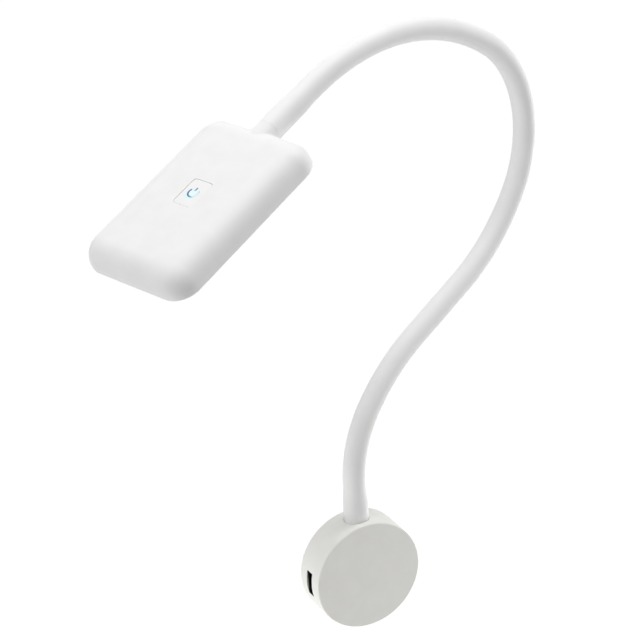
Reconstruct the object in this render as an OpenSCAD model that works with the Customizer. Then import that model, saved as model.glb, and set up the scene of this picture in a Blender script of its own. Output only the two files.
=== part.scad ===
// Bedside reading light: a flat light head on a flexible arm, held by a round base with a USB socket.
// The arm is a wired steel spine in one silicone sleeve, drawn in the bend that it is set to.
// Sizes are in millimetres. The origin is the middle of the face on the wall, with Y into the wall and Z up.

/* [Base] */
// Diameter of the round base
base_d = 55; // [53:0.5:63]
// How far the base stands out from the wall
base_depth = 18.5; // [18:0.5:24]
// Thickness of the base's round wall
base_wall = 2.2; // [1.6:0.1:2.6]
// Thickness of the base's front face
base_face = 2.2; // [1.6:0.1:2.6]
// Rounding of the base's front edge
base_edge = 0.8; // [0.4:0.1:1.4]
// Shadow gap between the base's rim and the wall
rim_gap = 0.4; // [0.2:0.1:1]

/* [Wall plate] */
// Thickness of the sheet steel wall plate
plate_t = 1.6; // [1.2:0.1:2]
// Distance between the two wall screw holes
screw_spacing = 34; // [30:1:36]
// Diameter of the wall screw holes
screw_hole_d = 4.4; // [3.5:0.1:5]
// Height of the four lugs above the plate
lug_h = 6.5; // [5:0.5:8]
// Share of a turn that one lug takes, in degrees
lug_span = 24; // [18:1:30]
// Diameter of the two grub screws that hold the base on the lugs
grub_d = 3; // [2.5:0.5:4]
// Bore of the rubber grommet for the supply cable
cable_d = 5.5; // [4:0.5:6.5]
// How far the cable grommet sits below the middle
cable_drop = 9; // [8:0.5:12]

/* [USB socket] */
// Long side of the socket's opening
usb_w = 12.5; // [12.3:0.1:12.7]
// Short side of the socket's opening
usb_h = 5.1; // [5:0.1:5.3]
// Length of the socket's metal shell
usb_depth = 13.5; // [12:0.5:16]
// Sheet thickness of the socket's metal shell
usb_sheet = 0.3; // [0.2:0.05:0.4]
// Thickness of the tongue
tongue_t = 1.84; // [1.7:0.02:1.9]
// Width of the tongue
tongue_w = 11.1; // [10.8:0.1:11.3]
// Gap between the tongue and the shell, on the side without contacts
tongue_gap = 0.7; // [0.5:0.1:0.9]

/* [Power board] */
// Thickness of the power board
board_t = 1.2; // [0.8:0.1:1.4]
// Height of the supply terminal block
terminal_h = 8; // [6:0.5:9]
// Height of the capacitor
capacitor_h = 7; // [5:0.5:8]
// Diameter of the capacitor
capacitor_d = 6.3; // [5:0.1:6.5]
// Diameter of the board's screws
board_screw_d = 2; // [1.6:0.2:2.2]

/* [Arm bend] */
// Heading of the arm's plane, turned out from the wall
arm_heading = 18; // [0:1:60]
// Straight stretch above the base
foot_straight = 18; // [18:1:30]
// Radius of the first bend, away from the head
bend_1_r = 54; // [45:1:80]
// Turn of the first bend
bend_1 = 41.5; // [30:0.5:45]
// Radius of the second bend
bend_2_r = 98; // [80:1:140]
// Turn of the second bend
bend_2 = 24; // [10:0.5:30]
// Straight stretch between the two ways of bending
middle_straight = 38; // [30:1:60]
// Radius of the third bend, back towards the head
bend_3_r = 100; // [80:1:140]
// Turn of the third bend
bend_3 = 31.5; // [20:0.5:40]
// Radius of the fourth bend
bend_4_r = 56; // [48:1:80]
// Turn of the fourth bend
bend_4 = 89.5; // [75:0.5:95]
// Radius of the fifth bend
bend_5_r = 120; // [90:1:160]
// Turn of the fifth bend
bend_5 = 58.7; // [45:0.1:70]
// Straight stretch before the head, with the neck of the head
top_straight = 30.7; // [26:0.1:40]

/* [Arm] */
// Outer diameter of the sleeve
sleeve_d = 10.8; // [10.4:0.1:11.2]
// Outer diameter of the sleeve over the ferrule in the base
sleeve_foot_d = 12; // [11.8:0.1:12.6]
// Outer diameter of the sleeve over the ferrule in the head
sleeve_top_d = 11.6; // [11.6:0.1:12.4]
// Outer diameter of the steel spine
spine_d = 8; // [7.4:0.1:8.2]
// Bore of the steel spine
spine_bore = 4.6; // [4:0.1:5]
// Place of the first bending point, from the base's rim along the arm
joint_first = 50; // [44:1:60]
// Distance from one bending point to the next
joint_step = 62; // [56:1:64]
// Wall of the crimped ferrules
ferrule_wall = 0.85; // [0.6:0.05:0.9]
// Length of the crimped barrel of a ferrule
ferrule_l = 15; // [12:0.5:17]
// Diameter of one insulated wire
wire_d = 1.4; // [1.1:0.1:1.5]

/* [Head] */
// Length of the head
head_l = 91.5; // [86:0.5:110]
// Width of the head
head_w = 62; // [58:1:76]
// Thickness of the head
head_t = 12.5; // [12.5:0.1:15]
// Corner radius of the head, seen from above
head_corner = 11; // [10.5:0.5:14]
// Rounding of the head's upper edge
head_round = 10; // [8:0.25:10.25]
// Rounding of the head's lower edge
head_edge = 1.4; // [0.6:0.1:1.5]
// Wall of the head
head_wall = 1.8; // [1.5:0.1:2]
// Roll of the head about its long axis
head_roll = -3; // [-10:0.5:10]
// Diameter of the neck that the arm goes into
neck_d = 11.5; // [11:0.1:12]
// Length of the neck in front of the head
neck_l = 2; // [2:0.5:6]
// Length of the solid end that takes the arm's thread
end_boss = 8; // [7:0.5:9]

/* [Light] */
// Rim around the light window, on the sides and at the free end
window_rim = 2.4; // [2.2:0.1:4]
// Solid band under the arm's nut, at the end with the arm
window_band = 15; // [14.5:0.5:18]
// Thickness of the opal diffuser
diffuser_t = 2; // [1.6:0.1:2.2]
// How far the diffuser lies behind the lower face
diffuser_sink = 0.3; // [0:0.1:0.6]
// Depth of the reflector frame between the diffuser and the light board
frame_t = 1.7; // [1.4:0.1:2]
// Width of the reflector frame
frame_w = 3; // [2:0.25:4]
// Thickness of the aluminium light board
led_board_t = 1; // [0.8:0.1:1.2]
// Light chips along the head
led_rows = 8; // [4:1:10]
// Light chips across the head
led_columns = 3; // [2:1:4]

/* [Button] */
// Length of the button, along the head
button_l = 14.75; // [12:0.25:18]
// Width of the button
button_w = 11; // [9:0.5:13]
// How far the button moves when it is pressed
button_travel = 0.5; // [0.3:0.1:0.6]
// How far the button lies below the head's top
button_sink = 0.1; // [0.05:0.05:0.6]
// Hairline gap round the button
button_gap = 0.15; // [0.1:0.05:0.4]
// Thickness of the lip that keeps the button in the head
button_lip_t = 0.9; // [0.7:0.1:1.1]
// Width of that lip
button_lip = 1; // [0.6:0.1:1.4]

/* [Clearances] */
// Gap between pieces that are put together
fit_gap = 0.2; // [0.1:0.05:0.3]
// Gap between a screw and its thread
thread_gap = 0.05; // [0.02:0.01:0.08]
// Gap between the balls and cups of the spine
seat_gap = 0.1; // [0.05:0.01:0.12]

/* [Hidden] */
$fn = 64;
past = 1;

// Base, in its own frame: X to the right, Y up and Z out from the wall
base_r = base_d / 2;
cavity_r = base_r - base_wall;
cavity_top = base_depth - base_face;
mid_depth = base_depth / 2;
plate_r = cavity_r - fit_gap;
lug_angles = [45, 135, 225, 315];
grub_angles = [225, 315];
grub_z = plate_t + lug_h - grub_d;
grub_sink = 0.4;
grommet_r = cable_d / 2 + 1.5;
grommet_lip = 1.2;
boss_w = 15;
boss_t = 4.2;

// Arm's thread and nut in the base
sleeve_sink = 3;
seat_z = base_r - sleeve_sink;
foot_thread_d = 8;
foot_nut_af = 12;
foot_nut_t = 4;
washer_t = 0.8;
foot_thread_end = seat_z - boss_t - washer_t - foot_nut_t - 1;

// Socket and power board
usb_shell_w = usb_w + 2 * usb_sheet;
usb_shell_h = usb_h + 2 * usb_sheet;
usb_recess = 0.8;
usb_lip_gap = 0.1;
usb_mouth = usb_recess - sqrt(pow(base_r, 2) - pow(usb_shell_w / 2, 2));
usb_body_l = 4.5;
usb_spring = [4, 2.2];
usb_spring_cut = 0.4;
usb_spring_from = 4.2;
usb_spring_y = 3;
usb_body_gap = 0.05;
tongue_z = mid_depth + usb_h / 2 - tongue_gap - tongue_t;
tongue_set_back = 0.8;
contact_t = 0.2;
contact_w = 1;
contact_y = [-3.5, -1, 1, 3.5];
board_z = mid_depth + usb_shell_h / 2;
board_r = cavity_r - 1.5;
board_right = 16;
board_low = -16;
board_high = 12;
post_d = 5;
post_inset = 3.2;
screw_bite = 2;
header_w = 6;
header_l = 6;
header_h = 5.8;
header_end = 9;
usb_end = usb_mouth + usb_depth;
part_gap = 1.2;
inductor_side = 6;
inductor_h = 3;
inductor_y = -1;
inductor_at = [header_w / 2 + part_gap + inductor_side / 2, inductor_y];
capacitor_y = -6;
capacitor_at = [usb_end + part_gap + capacitor_d / 2, capacitor_y];
chip_size = [4.4, 3.6, 1.5];
chip_y = 4;
chip_at = [usb_end + part_gap + chip_size[0] / 2, chip_y];
terminal_size = [7.6, 7];
terminal_y = -9.6;
terminal_at = [capacitor_at[0] + capacitor_d / 2 + 2 * part_gap + terminal_size[0] / 2, terminal_y];
post_drop = 1.5;
board_posts = [
    [board_right - post_inset, board_high - post_inset - post_drop],
    [terminal_at[0] + terminal_size[0] / 2 + part_gap + board_screw_d, board_low + post_inset]
];

// Runs of the arm's centre line from the base's rim to the head, each as [length, turn]
function arc_run(radius, turn) = [radius * abs(turn) * PI / 180, turn];
arm_runs = [
    [foot_straight, 0],
    arc_run(bend_1_r, -bend_1),
    arc_run(bend_2_r, -bend_2),
    [middle_straight, 0],
    arc_run(bend_3_r, bend_3),
    arc_run(bend_4_r, bend_4),
    arc_run(bend_5_r, bend_5),
    [top_straight, 0]
];
last_run = len(arm_runs) - 1;
function run_start(i) = i == 0 ? 0 : run_start(i - 1) + arm_runs[i - 1][0];
function run_angle(i) = i == 0 ? 0 : run_angle(i - 1) + arm_runs[i - 1][1];
function step(from, angle, length, turn) =
    turn == 0
    ? from + length * [sin(angle), cos(angle)]
    : let (bend = turn * PI / 180 / length)
      from + [cos(angle) - cos(angle + turn), sin(angle + turn) - sin(angle)] / bend;
function run_from(i) =
    i == 0
    ? [0, base_r]
    : step(run_from(i - 1), run_angle(i - 1), arm_runs[i - 1][0], arm_runs[i - 1][1]);
function turn_in(i, s) = arm_runs[i][1] * (s - run_start(i)) / arm_runs[i][0];
function place_in(i, s) = step(run_from(i), run_angle(i), s - run_start(i), turn_in(i, s));
function run_at(s, i = last_run) = i == 0 || s >= run_start(i) ? i : run_at(s, i - 1);
function arm_place(s) = place_in(run_at(s), s);
function arm_angle(s) = run_angle(run_at(s)) + turn_in(run_at(s), s);
arm_l = run_start(last_run) + top_straight;

// Bending points: the spine is straight for joint_end on both sides, so its ends meet on one point
function arm_line(s) = [sin(arm_angle(s)), cos(arm_angle(s))];
function joint_run(s) =
    let (below = arm_line(s - joint_end), above = arm_line(s + joint_end), bend = cross(below, above))
    abs(bend) < 0.0001
    ? joint_end
    : cross(arm_place(s + joint_end) - arm_place(s - joint_end), above) / bend;
function joint_place(s) = arm_place(s - joint_end) + joint_run(s) * arm_line(s - joint_end);
function joint_rise(s) = norm(arm_place(s + joint_end) - joint_place(s));

// Spine, its bending points and the ferrules on its ends
joint_count = 6;
joints = [for (i = [0 : joint_count - 1]) joint_first + i * joint_step];
spine_r = spine_d / 2;
sleeve_gap = 0.35;
ferrule_gap = 0.1;
ball_r = spine_r - 0.6;
joint_relief = 0.4 * spine_r;
joint_end = spine_r + 0.9;
collar_l = 1.6;
collar_lip = 0.03;
collar_trim = 0.2;
ferrule_r = spine_r + thread_gap + ferrule_wall;
ferrule_floor = 1.5;
spine_foot = -sleeve_sink + ferrule_floor + thread_gap;
spine_top = arm_l - neck_l - ferrule_floor - thread_gap;
sleeve_foot = -sleeve_sink + thread_gap;
sleeve_top = arm_l - neck_l - thread_gap;
sleeve_taper = 10;
wire_x = wire_d / 2 + 0.1;

// Head, in its own frame: X from the arm to the free end, Z up, from the middle of the end with the arm
head_low = -head_t / 2;
head_high = head_t / 2;
ceiling = head_high - head_wall;
web_t = 1.6;
window_l = head_l - window_band - window_rim;
window_w = head_w - 2 * window_rim;
window_corner = 8;
window_x = window_band + window_l / 2;
top_thread_d = 5.5;
top_nut_af = 8;
top_nut_t = 3;
top_washer_t = 0.6;
top_thread_end = end_boss + top_washer_t + top_nut_t + 1;
thread_wall = 1;

// Layers of the head, from the lower face up
diffuser_low = head_low + diffuser_sink;
frame_low = diffuser_low + diffuser_t;
led_board_low = frame_low + frame_t;
led_board_high = led_board_low + led_board_t;
led_board_margin = 1.2;
led_size = [3.5, 2.8, 0.7];
led_post_inset = 10;
led_post_y = head_w / 2 - head_round + 1;
led_posts = [
    for (x = [window_band + led_post_inset, head_l - window_rim - led_post_inset], y = [-1, 1])
        [x, y * led_post_y]
];
led_post_d = 4.5;
led_screw_d = 1.7;
top_header = [5, 6, 3];
top_header_in = 4;
top_header_x = window_band + top_header_in;

// Button and the switch under it
button_back = 0.25;
button_x = head_l / 2 - button_back;
button_corner = 1.4;
button_high = head_high - button_sink;
lip_gap = 0.1;
lip_high = ceiling - lip_gap;
lip_low = lip_high - button_lip_t;
well_d = 7;
well_skin = 0.9;
plunger_d = 2.4;
plunger_x = button_x + button_l / 2 - plunger_d / 2 - 0.3;
plunger_gap = 0.1;
switch_w = 4.8;
switch_h = 1.9;
switch_show = 0.55;
switch_board_t = 0.8;
switch_board_high = lip_low - switch_show - switch_h;
switch_board_low = switch_board_high - switch_board_t;
switch_post_out = 5;
switch_board_edge = 3;
switch_board_l = button_l + 2 * switch_post_out + 2 * switch_board_edge;
switch_board_w = 10;
switch_posts = [for (side = [-1, 1]) button_x + side * (button_l / 2 + switch_post_out)];
switch_post_d = 3.4;
switch_screw_d = 1.6;

// Turns the base's own frame so that its Z points out from the wall
module wall_frame() {
    rotate([90, 0, 0]) children();
}

// Upright frame on the arm's axis in the base
module foot_frame() {
    translate([0, -mid_depth, 0]) children();
}

// Frame of the arm's plane: X along its heading, Z up
module arm_frame() {
    foot_frame() rotate([0, 0, 180 + arm_heading]) children();
}

// Frame of the head at the end of the arm
module head_frame() {
    end = arm_place(arm_l);
    arm_frame()
        translate([end[0], 0, end[1]])
        rotate([0, arm_angle(arm_l) - 90, 0])
        rotate([head_roll, 0, 0])
        children();
}

// Flat rectangle with round corners, centred
module round_plate(l, w, corner) {
    square([l, w - 2 * corner], center = true);
    square([l - 2 * corner, w], center = true);
    for (x = [-1, 1], y = [-1, 1])
        translate([x * (l / 2 - corner), y * (w / 2 - corner)])
            circle(corner);
}

// Slab of such a rectangle
module round_slab(l, w, corner, low, high) {
    translate([0, 0, low]) linear_extrude(high - low) round_plate(l, w, corner);
}

// Half section of the head's edge: X outwards and Y up
module edge_section(reach, low, high, top_r, low_r) {
    translate([0, low]) square([reach - top_r, high - low]);
    translate([0, low + low_r]) square([reach, high - low - low_r - top_r]);
    translate([reach - top_r, high - top_r])
        intersection() {
            circle(top_r);
            square(top_r);
        }
    if (low_r > 0) {
        translate([0, low]) square([reach - low_r, low_r]);
        translate([reach - low_r, low + low_r])
            intersection() {
                circle(low_r);
                translate([0, -low_r]) square(low_r);
            }
    }
}

// Slab with round corners and rounded edges all round, centred
module soft_slab(l, w, low, high, corner, top_r, low_r) {
    side_l = l - 2 * corner;
    end_w = w - 2 * corner;
    translate([-side_l / 2, -end_w / 2, low]) cube([side_l, end_w, high - low]);
    for (half = [0, 180])
        rotate([0, 0, half]) {
            translate([-side_l / 2, end_w / 2, 0])
                rotate([90, 0, 90])
                linear_extrude(side_l) edge_section(corner, low, high, top_r, low_r);
            translate([side_l / 2, end_w / 2, 0])
                rotate([90, 0, 0])
                linear_extrude(end_w) edge_section(corner, low, high, top_r, low_r);
            translate([side_l / 2, end_w / 2, 0])
                rotate_extrude(angle = 90) edge_section(corner, low, high, top_r, low_r);
            translate([-side_l / 2, end_w / 2, 0])
                rotate([0, 0, 90])
                rotate_extrude(angle = 90) edge_section(corner, low, high, top_r, low_r);
        }
}

// Round bar along the head's X axis
module bar_x(from, to, r) {
    translate([from, 0, 0]) rotate([0, 90, 0]) cylinder(h = to - from, r = r);
}

// One stretch of round bar or tube in run i of the arm
module arm_stretch(i, from, to, r, bore_r) {
    turn = arm_runs[i][1];
    if (turn == 0) {
        start = place_in(i, from);
        translate([start[0], 0, start[1]])
            rotate([0, run_angle(i), 0])
            linear_extrude(to - from)
            arm_section(r, bore_r);
    } else {
        bend_r = arm_runs[i][0] / (turn * PI / 180);
        centre = run_from(i) + bend_r * [cos(run_angle(i)), -sin(run_angle(i))];
        first = turn > 0 ? 180 - run_angle(i) - turn_in(i, to) : -run_angle(i) - turn_in(i, from);
        translate([centre[0], 0, centre[1]])
            rotate([90, 0, 0])
            rotate([0, 0, first])
            rotate_extrude(angle = abs(turn_in(i, to) - turn_in(i, from)))
            translate([abs(bend_r), 0])
            arm_section(r, bore_r);
    }
}

// Section of a round bar or tube
module arm_section(r, bore_r) {
    difference() {
        circle(r);
        if (bore_r > 0)
            circle(bore_r);
    }
}

// Narrow collar that joins two stretches of the arm at the place s
module arm_collar(s, r, bore_r) {
    at = arm_place(s);
    translate([at[0], 0, at[1]])
        rotate([0, arm_angle(s), 0])
        translate([0, 0, -collar_l / 2])
        linear_extrude(collar_l)
        arm_section(r + collar_lip, bore_r - collar_lip);
}

// Round bar or tube along the arm's centre line, between two places on it
module arm_bar(from, to, r, bore_r = 0) {
    for (i = [0 : last_run]) {
        low = i == 0 ? from : max(from, run_start(i) + collar_trim);
        high = i == last_run ? to : min(to, run_start(i + 1) - collar_trim);
        if (high > low)
            arm_stretch(i, low, high, r, bore_r);
        if (run_start(i) > from && run_start(i) < to)
            arm_collar(run_start(i), r, bore_r);
    }
}

// Screw with a round head, its head below z = 0 and its shank above
module screw(d, shank, head_d, head_h) {
    translate([0, 0, -head_h]) cylinder(h = head_h, d = head_d);
    cylinder(h = shank, d = d);
}

// Ring between two heights
module ring(low, high, outer_r, inner_r) {
    difference() {
        translate([0, 0, low]) cylinder(h = high - low, r = outer_r);
        translate([0, 0, low - past]) cylinder(h = high - low + 2 * past, r = inner_r);
    }
}

// Hexagon nut with flats of the given size facing along Y
module hex_nut(af, t, bore_d) {
    difference() {
        cylinder(h = t, d = af / cos(30), $fn = 6);
        translate([0, 0, -past]) cylinder(h = t + 2 * past, d = bore_d);
    }
}

// Sheet steel plate with four lugs turned out, screwed to the wall
module wall_plate() {
    lug_t = plate_t;
    color("silver") wall_frame() difference() {
        union() {
            cylinder(h = plate_t, r = plate_r);
            for (angle = lug_angles)
                rotate([0, 0, angle - lug_span / 2])
                    rotate_extrude(angle = lug_span)
                    translate([plate_r - lug_t, 0])
                    square([lug_t, plate_t + lug_h]);
        }
        for (x = [-1, 1])
            translate([x * screw_spacing / 2, 0, -past])
                cylinder(h = plate_t + 2 * past, d = screw_hole_d);
        translate([0, -cable_drop, -past]) cylinder(h = plate_t + 2 * past, r = grommet_r);
        for (angle = grub_angles)
            rotate([0, 0, angle])
                translate([plate_r - lug_t - past, 0, grub_z])
                rotate([0, 90, 0])
                cylinder(h = lug_t + 2 * past, d = grub_d + 2 * thread_gap);
    }
}

// Rubber bush that guards the supply cable in the wall plate
module cable_grommet() {
    color("dimgray") wall_frame() translate([0, -cable_drop, 0]) {
        difference() {
            union() {
                translate([0, 0, thread_gap]) cylinder(h = plate_t, r = grommet_r - thread_gap);
                translate([0, 0, plate_t]) cylinder(h = grommet_lip, r = grommet_r + grommet_lip);
            }
            translate([0, 0, -past]) cylinder(h = plate_t + grommet_lip + 2 * past, d = cable_d);
        }
    }
}

// Two hexagon socket grub screws on the underside
module grub_screws() {
    socket_af = grub_d / 2;
    inner = plate_r - plate_t - 0.5;
    outer = base_r - grub_sink;
    color("gray") wall_frame() for (angle = grub_angles)
        rotate([0, 0, angle])
            translate([inner, 0, grub_z])
            rotate([0, 90, 0])
            difference() {
                cylinder(h = outer - inner, d = grub_d);
                translate([0, 0, outer - inner - grub_d / 2])
                    cylinder(h = grub_d, d = socket_af / cos(30), $fn = 6);
            }
}

// Outside of the base: a disc with a rounded front edge
module base_form() {
    rotate_extrude() {
        translate([0, rim_gap]) square([base_r - base_edge, base_depth - rim_gap]);
        translate([0, rim_gap]) square([base_r, base_depth - base_edge - rim_gap]);
        translate([base_r - base_edge, base_depth - base_edge])
            intersection() {
                circle(base_edge);
                square(base_edge);
            }
    }
}

// Moulded cup of the base, with the seat of the arm and the posts of the power board
module base_shell() {
    color("whitesmoke") wall_frame() difference() {
        union() {
            difference() {
                base_form();
                translate([0, 0, -past]) cylinder(h = cavity_top + past, r = cavity_r);
            }
            intersection() {
                base_form();
                translate([-boss_w / 2, seat_z - boss_t, plate_t + past])
                    cube([boss_w, base_r, base_depth]);
            }
            for (at = board_posts)
                translate([at[0], at[1], board_z + board_t])
                    cylinder(h = cavity_top + base_face / 2 - board_z - board_t, d = post_d);
        }
        translate([0, seat_z, mid_depth])
            rotate([-90, 0, 0])
            cylinder(h = base_r, d = sleeve_foot_d + 2 * fit_gap);
        translate([0, seat_z - boss_t - past, mid_depth])
            rotate([-90, 0, 0])
            cylinder(h = boss_t + 2 * past, d = foot_thread_d + 2 * thread_gap);
        translate([-base_r - past, -usb_w / 2, mid_depth - usb_h / 2])
            cube([2 * base_wall, usb_w, usb_h]);
        translate([usb_mouth - usb_lip_gap, -usb_shell_w / 2 - fit_gap, mid_depth - usb_shell_h / 2 - fit_gap])
            cube([2 * base_wall, usb_shell_w + 2 * fit_gap, usb_shell_h + 2 * fit_gap]);
        for (angle = grub_angles)
            rotate([0, 0, angle])
                translate([cavity_r - past, 0, grub_z])
                rotate([0, 90, 0])
                cylinder(h = base_wall + 2 * past, d = grub_d + 2 * fit_gap);
        for (at = board_posts)
            translate([at[0], at[1], board_z + board_t - past])
                cylinder(h = screw_bite + past, d = board_screw_d + 2 * thread_gap);
    }
}

// Folded metal shell of the USB socket, its mouth behind a thin lip of the rim
module usb_shell() {
    color("silver") wall_frame() translate([usb_mouth, 0, mid_depth]) difference() {
        translate([0, -usb_shell_w / 2, -usb_shell_h / 2]) cube([usb_depth, usb_shell_w, usb_shell_h]);
        translate([-past, -usb_w / 2, -usb_h / 2]) cube([usb_depth + 2 * past, usb_w, usb_h]);
        for (side = [-1, 1])
            translate([usb_spring_from, side * usb_spring_y, -usb_shell_h])
                linear_extrude(2 * usb_shell_h)
                difference() {
                    translate([0, -usb_spring[1] / 2]) square(usb_spring);
                    translate([usb_spring_cut, usb_spring_cut - usb_spring[1] / 2])
                        square([usb_spring[0], usb_spring[1] - 2 * usb_spring_cut]);
                }
    }
}

// Moulded insulator at the back of the socket, with the tongue that carries the contacts
module usb_tongue() {
    body_w = usb_w - 2 * usb_body_gap;
    body_h = usb_h - 2 * usb_body_gap;
    color("black") wall_frame() translate([usb_mouth, 0, 0]) {
        translate([usb_depth - usb_body_l, -body_w / 2, mid_depth - body_h / 2])
            cube([usb_body_l, body_w, body_h]);
        translate([tongue_set_back, -tongue_w / 2, tongue_z])
            cube([usb_depth - usb_body_l - tongue_set_back + usb_body_gap, tongue_w, tongue_t]);
    }
}

// Four contact springs along the tongue
module usb_contacts() {
    contact_from = usb_mouth + 2 * tongue_set_back;
    contact_to = usb_mouth + usb_depth - usb_body_l;
    color("gold") wall_frame() for (y = contact_y)
        translate([contact_from, y - contact_w / 2, tongue_z - contact_t])
            cube([contact_to - contact_from, contact_w, contact_t]);
}

// Circuit board that feeds the socket and the arm
module power_board() {
    color("darkgreen") wall_frame() difference() {
        translate([0, 0, board_z]) linear_extrude(board_t) intersection() {
            circle(board_r);
            translate([-board_r, board_low]) square([board_r + board_right, board_high - board_low]);
        }
        for (at = board_posts)
            translate([at[0], at[1], board_z - past])
                cylinder(h = board_t + 2 * past, d = board_screw_d + 2 * fit_gap);
    }
}

// Two screws from the board into its posts
module board_screws() {
    color("gray") wall_frame() for (at = board_posts)
        translate([at[0], at[1], board_z])
            screw(board_screw_d, board_t + screw_bite - fit_gap, 2 * board_screw_d, 1.2);
}

// Shielded choke of the power supply
module power_inductor() {
    color("dimgray") wall_frame() translate([inductor_at[0], inductor_at[1], board_z]) difference() {
        round_slab(inductor_side, inductor_side, inductor_side / 4, -inductor_h, 0);
        translate([0, 0, -inductor_h - past]) cylinder(h = past + 0.6, d = 0.7 * inductor_side);
    }
}

// Round can capacitor
module power_capacitor() {
    vent = 0.4;
    color("black") wall_frame() translate([capacitor_at[0], capacitor_at[1], board_z - capacitor_h]) difference() {
        cylinder(h = capacitor_h, d = capacitor_d);
        for (turn = [0, 90])
            rotate([0, 0, turn])
                translate([-capacitor_d / 4, -vent / 2, -past])
                cube([capacitor_d / 2, vent, past + vent]);
    }
}

// Converter chip with two rows of legs
module power_chip() {
    leg = [0.4, 0.8, 0.3];
    pitch = 1.1;
    color("black") wall_frame() translate([chip_at[0], chip_at[1], board_z - chip_size[2]]) {
        translate([-chip_size[0] / 2, -chip_size[1] / 2, 0]) cube(chip_size);
        for (i = [0 : 3], side = [-1, 1])
            translate([
                (i - 1.5) * pitch - leg[0] / 2,
                side * (chip_size[1] + leg[1]) / 2 - leg[1] / 2,
                chip_size[2] - leg[2]
            ]) cube(leg);
    }
}

// Two way screw terminal for the supply cable
module terminal_block() {
    way = terminal_size[0] / 2;
    screw_hole = 2.8;
    wire_hole = [2.4, 2, 2.6];
    color("seagreen") wall_frame() translate([terminal_at[0], terminal_at[1], board_z - terminal_h]) difference() {
        translate([-way, -terminal_size[1] / 2, 0]) cube([terminal_size[0], terminal_size[1], terminal_h]);
        for (side = [-1, 1]) {
            translate([side * way / 2, 1, -past]) cylinder(h = past + 1.5, d = screw_hole);
            translate([side * way / 2 - wire_hole[0] / 2, -terminal_size[1] / 2 - past, terminal_h - wire_hole[2] - 1])
                cube([wire_hole[0], past + wire_hole[1], wire_hole[2]]);
        }
    }
}

// Plug header where the arm's wires end on the power board
module base_header() {
    color("ivory") wall_frame()
        translate([-header_w / 2, header_end - header_l, board_z - header_h])
        cube([header_w, header_l, header_h]);
}

// Crimped ferrule on the lower end of the spine, with the thread that holds the arm in the base
module foot_ferrule() {
    color("silver") foot_frame() difference() {
        union() {
            translate([0, 0, foot_thread_end]) cylinder(h = seat_z - foot_thread_end, d = foot_thread_d);
            translate([0, 0, seat_z]) cylinder(h = ferrule_l + ferrule_floor, r = ferrule_r);
        }
        translate([0, 0, foot_thread_end - past]) cylinder(h = base_r, d = spine_bore);
        translate([0, 0, seat_z + ferrule_floor]) cylinder(h = ferrule_l + past, r = spine_r + thread_gap);
    }
}

// Toothed lock washer under the nut in the base
module foot_washer() {
    top = seat_z - boss_t;
    color("gray") foot_frame()
        ring(top - washer_t, top, foot_nut_af / 2, foot_thread_d / 2 + thread_gap);
}

// Nut that holds the arm in the base
module foot_nut() {
    color("silver") foot_frame()
        translate([0, 0, seat_z - boss_t - washer_t - foot_nut_t])
        hex_nut(foot_nut_af, foot_nut_t, foot_thread_d + 2 * thread_gap);
}

// Ball on the lower end of a stretch of the spine, on the bending point s
module spine_ball(s) {
    at = joint_place(s);
    translate([at[0], 0, at[1]])
        rotate([0, arm_angle(s + joint_end), 0])
        rotate_extrude()
        difference() {
            union() {
                intersection() {
                    circle(ball_r);
                    translate([0, -ball_r]) square([ball_r, ball_r + joint_relief + collar_trim]);
                }
                translate([0, joint_relief]) square([spine_r, joint_rise(s) - collar_trim - joint_relief]);
            }
            translate([-spine_bore / 2, -joint_end]) square([spine_bore, 3 * joint_end]);
        }
}

// Cup on the upper end of a stretch of the spine, round the bending point s
module spine_cup(s) {
    at = joint_place(s);
    translate([at[0], 0, at[1]])
        rotate([0, arm_angle(s - joint_end), 0])
        rotate_extrude()
        difference() {
            translate([spine_bore / 2, collar_trim - joint_run(s)])
                square([spine_r - spine_bore / 2, joint_run(s) - collar_trim - joint_relief]);
            circle(ball_r + seat_gap);
        }
}

// Stretch i of the spine: a tube with a ball at its lower end and a cup at its upper end
module spine(i) {
    from = i == 0 ? spine_foot : joints[i - 1] + joint_end + collar_trim;
    to = i == joint_count ? spine_top : joints[i] - joint_end - collar_trim;
    color("darkgray") arm_frame() {
        arm_bar(from, to, spine_r, spine_bore / 2);
        if (i > 0) {
            spine_ball(joints[i - 1]);
            arm_collar(joints[i - 1] + joint_end, spine_r, spine_bore / 2);
        }
        if (i < joint_count) {
            spine_cup(joints[i]);
            arm_collar(joints[i] - joint_end, spine_r, spine_bore / 2);
        }
    }
}

// Two insulated wires from the power board to the light board
module arm_wires() {
    color("firebrick") arm_frame() for (side = [-1, 1])
        translate([0, side * wire_x, 0])
        arm_bar(header_end - base_r, arm_l + top_header_x, wire_d / 2);
}

// End of the sleeve: wide over the ferrule, then tapering to the size of the arm
module sleeve_end(length, end_r) {
    seat_r = ferrule_r + ferrule_gap;
    seat_l = ferrule_floor + ferrule_l + ferrule_gap;
    bore_r = spine_r + sleeve_gap;
    rotate_extrude()
        polygon([
            [seat_r, 0], [end_r, 0], [end_r, length - sleeve_taper],
            [sleeve_d / 2, length - collar_l], [sleeve_d / 2, length],
            [bore_r, length], [bore_r, seat_l], [seat_r, seat_l]
        ]);
}

// One silicone sleeve over the whole arm
module arm_sleeve() {
    end = arm_place(sleeve_top);
    color("white") arm_frame() {
        translate([0, 0, base_r + sleeve_foot])
            sleeve_end(foot_straight - sleeve_foot - collar_trim, sleeve_foot_d / 2);
        arm_collar(foot_straight, sleeve_d / 2, spine_r + sleeve_gap);
        arm_bar(foot_straight + collar_trim, run_start(last_run) - collar_trim,
            sleeve_d / 2, spine_r + sleeve_gap);
        arm_collar(run_start(last_run), sleeve_d / 2, spine_r + sleeve_gap);
        translate([end[0], 0, end[1]])
            rotate([0, arm_angle(arm_l) + 180, 0])
            sleeve_end(sleeve_top - run_start(last_run) - collar_trim, sleeve_top_d / 2);
    }
}

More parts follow.
